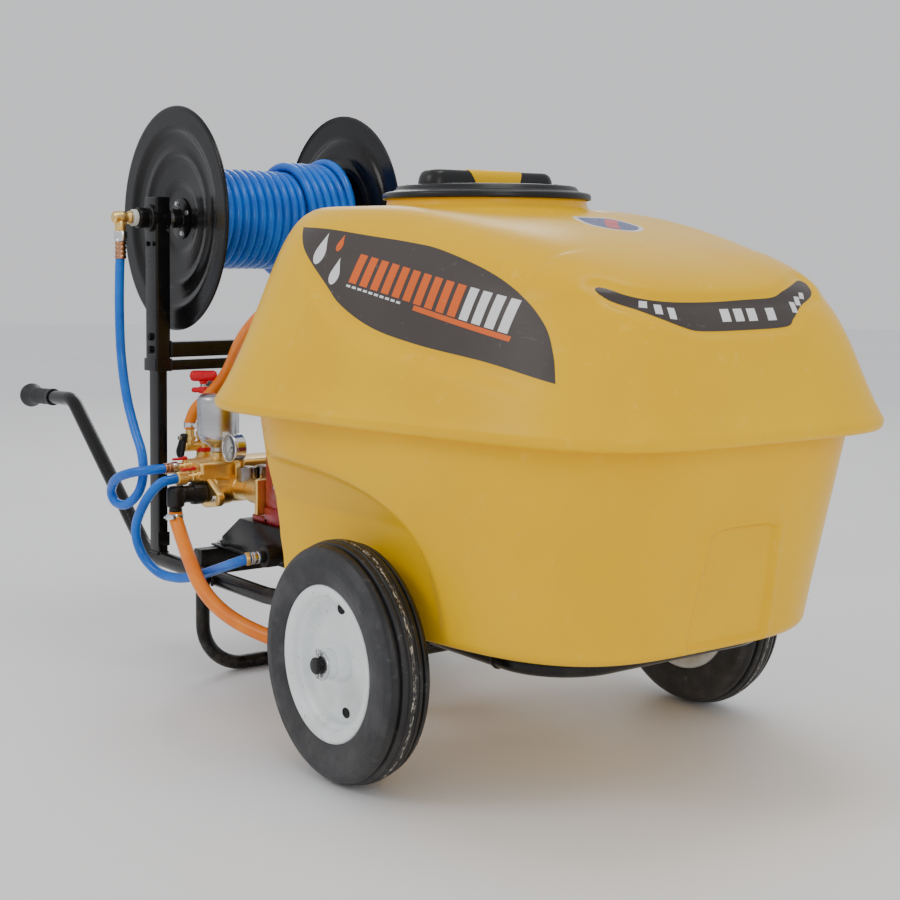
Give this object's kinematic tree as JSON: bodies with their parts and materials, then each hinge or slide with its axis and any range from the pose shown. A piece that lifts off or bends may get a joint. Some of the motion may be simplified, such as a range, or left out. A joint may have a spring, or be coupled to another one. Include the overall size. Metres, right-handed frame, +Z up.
{
  "type": "wheeled sprayer cart",
  "caption": "Two-wheeled tank cart with tube handles, rear stand, belt-driven plunger pump, valves, pressure gauge and a crank-wound hose reel for spraying orchards and vineyards.",
  "frame": {"origin": "on the ground, under the middle of the cart's box", "axes": "+X from the handles towards the tank's nose, +Z up, +Y to the cart's left"},
  "size_m": [2.0575, 0.835, 1.066],
  "materials": {
    "black_paint": "glossy black powder coat",
    "steel": "bright drawn steel, lightly tarnished",
    "tank_plastic": "satin rotationally moulded polyethylene, lightly scuffed",
    "black_plastic": "satin moulded",
    "mesh_plastic": "moulded strainer",
    "seal_rubber": "soft",
    "grip_rubber": "ribbed, matt",
    "tyre_rubber": "ribbed, dusty",
    "rim_paint": "white pressed steel",
    "nylon": "turned bush",
    "brass": "satin cast and machined",
    "chrome": "bright plated",
    "stainless": "spun and brushed",
    "red_casting": "gloss red paint on casting",
    "red_plastic": "moulded",
    "blue_hose": "smooth spray hose",
    "orange_hose": "soft hose",
    "pulley_iron": "machined",
    "belt_rubber": "fabric-faced",
    "motor_paint": "grey enamel",
    "glass": "clear",
    "needle": "matt black"
  },
  "bodies": {
    "chassis": {"right_side_tube": "black_paint", "left_side_tube": "black_paint", "front_hoop": "black_paint", "rear_cross_beam": "black_paint", "rear_stand": "black_paint", "right_post": "black_paint", "left_post": "black_paint", "right_upright": "black_paint", "left_upright": "black_paint", "upper_crossbar": "black_paint", "lower_crossbar": "black_paint", "deck_plate": "black_paint", "pump_bracket": "black_paint", "belt_guard": "black_paint", "axle_bar": "steel", "tank": "tank_plastic", "tank_outlet": "black_plastic", "return_fitting": "black_plastic", "agitator_elbow": "black_plastic", "right_bearing": "black_plastic", "left_bearing": "black_plastic", "suction_elbow": "black_plastic", "strainer_basket": "mesh_plastic", "right_grip": "grip_rubber", "left_grip": "grip_rubber", "manifold": "brass", "regulator_body": "brass", "swivel_elbow": "brass", "gauge_case": "chrome", "air_chamber": "stainless", "crankcase": "red_casting", "feed_hose": "blue_hose", "agitator_hose": "blue_hose", "suction_hose": "orange_hose", "return_hose": "orange_hose", "drive_belt": "belt_rubber", "motor": "motor_paint", "gauge_lens": "glass"},
    "right_wheel": {"right_tyre": "tyre_rubber", "right_rim": "rim_paint", "right_bush": "nylon"},
    "left_wheel": {"left_tyre": "tyre_rubber", "left_rim": "rim_paint", "left_bush": "nylon"},
    "reel": {"right_reel_disc": "black_paint", "left_reel_disc": "black_paint", "reel_drum": "black_paint", "reel_shaft": "steel", "hose_winding": "blue_hose", "crank_arm": "black_paint"},
    "crank_knob": {"crank_knob": "black_plastic"},
    "lid_seal": {"lid_seal": "seal_rubber"},
    "lid": {"lid": "black_plastic"},
    "regulator_knob": {"regulator_knob": "red_plastic"},
    "relief_lever": {"relief_lever": "black_plastic"},
    "upper_cock_lever": {"upper_cock_lever": "red_plastic"},
    "lower_cock_lever": {"lower_cock_lever": "red_plastic"},
    "gauge_needle": {"gauge_needle": "needle"},
    "pump_shaft": {"pump_pulley": "pulley_iron"},
    "motor_shaft": {"motor_pulley": "pulley_iron"}
  },
  "joints": [
    {"name": "right_wheel_spin", "type": "hinge", "parent": "chassis", "child": "right_wheel", "pos_m": [0.5077, -0.362, 0.18], "axis": [0, 1, 0], "continuous": true},
    {"name": "left_wheel_spin", "type": "hinge", "parent": "chassis", "child": "left_wheel", "pos_m": [0.5077, 0.362, 0.18], "axis": [0, 1, 0], "continuous": true},
    {"name": "reel_spin", "type": "hinge", "parent": "chassis", "child": "reel", "pos_m": [-0.3733, 0, 0.846], "axis": [0, 1, 0], "continuous": true},
    {"name": "crank_knob_spin", "type": "hinge", "parent": "reel", "child": "crank_knob", "pos_m": [-0.3733, 0.33, 0.711], "axis": [0, 1, 0], "continuous": true},
    {"name": "lid_lift", "type": "slide", "parent": "chassis", "child": "lid_seal", "axis": [0, 0, 1], "range_m": [0, 0.2]},
    {"name": "lid_turn", "type": "hinge", "parent": "lid_seal", "child": "lid", "pos_m": [0.3767, 0, 0.878], "axis": [0, 0, 1], "range_deg": [0, 90]},
    {"name": "regulator_knob_turn", "type": "hinge", "parent": "chassis", "child": "regulator_knob", "pos_m": [-0.3163, -0.16, 0.48], "axis": [0, 0, 1], "range_deg": [0, 360]},
    {"name": "relief_lever_turn", "type": "hinge", "parent": "chassis", "child": "relief_lever", "pos_m": [-0.3163, -0.204, 0.42], "axis": [0, 1, 0], "range_deg": [0, 90]},
    {"name": "upper_cock_turn", "type": "hinge", "parent": "chassis", "child": "upper_cock_lever", "pos_m": [-0.2273, -0.247, 0.392], "axis": [0, 0, -1], "range_deg": [0, 90]},
    {"name": "lower_cock_turn", "type": "hinge", "parent": "chassis", "child": "lower_cock_lever", "pos_m": [-0.1933, -0.247, 0.3765], "axis": [0, 0, 1], "range_deg": [0, 90]},
    {"name": "needle_turn", "type": "hinge", "parent": "chassis", "child": "gauge_needle", "pos_m": [-0.1643, -0.1823, 0.414], "axis": [0, 1, 0], "range_deg": [0, 270], "stiffness_Nm_per_rad": 0.0002},
    {"name": "pump_crank", "type": "hinge", "parent": "chassis", "child": "pump_shaft", "pos_m": [0.0272, -0.016, 0.372], "axis": [0, 1, 0], "continuous": true},
    {"name": "motor_spin", "type": "hinge", "parent": "chassis", "child": "motor_shaft", "pos_m": [-0.1473, -0.016, 0.3065], "axis": [0, 1, 0], "continuous": true}
  ],
  "couplings": [
    {"joint": "motor_spin", "follows": "pump_crank", "ratio": 2.1667}
  ]
}
